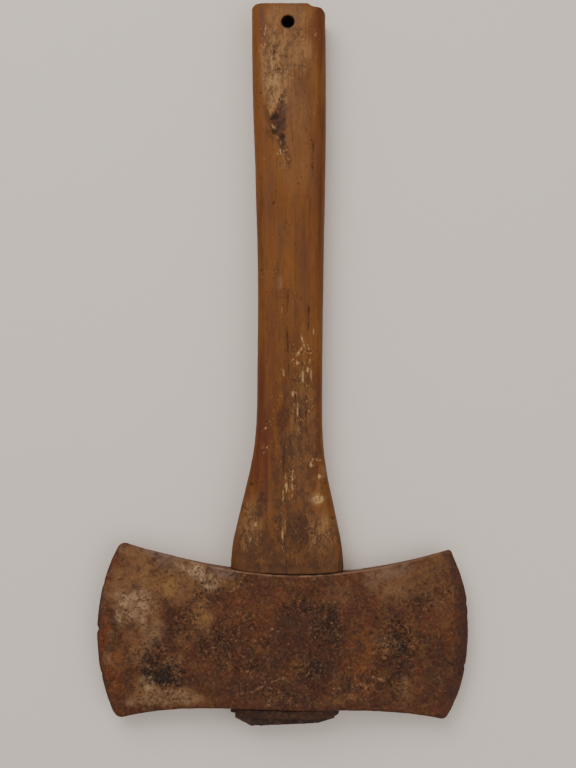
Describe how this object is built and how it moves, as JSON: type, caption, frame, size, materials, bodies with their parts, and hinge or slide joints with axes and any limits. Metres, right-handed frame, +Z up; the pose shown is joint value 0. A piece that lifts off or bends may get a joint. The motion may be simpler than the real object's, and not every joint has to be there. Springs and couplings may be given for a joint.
{
  "type": "double-bit axe",
  "caption": "Short-hafted axe with a hollow-sided head that has a curved cutting edge on each side, on a flat wooden haft with a hanging hole.",
  "frame": {"origin": "on the ground, on the flat of the lower cheek, under the centre of the head's eye", "axes": "+Y up the haft to its free end, +X to the more worn of the two bits, +Z up out of the cheek that is on top"},
  "size_m": [0.23, 0.4569, 0.027],
  "materials": {
    "rusted_steel": "brown rust patina, finely pitted, with pale crust near one bit",
    "worn_hickory": "handled, stained and dry, with open grain and flecks of old paint",
    "wedge_wood": "dark, dirty and battered"
  },
  "bodies": {
    "root": {"axe_head": "rusted_steel", "haft": "worn_hickory", "wedge": "wedge_wood"}
  },
  "joints": []
}
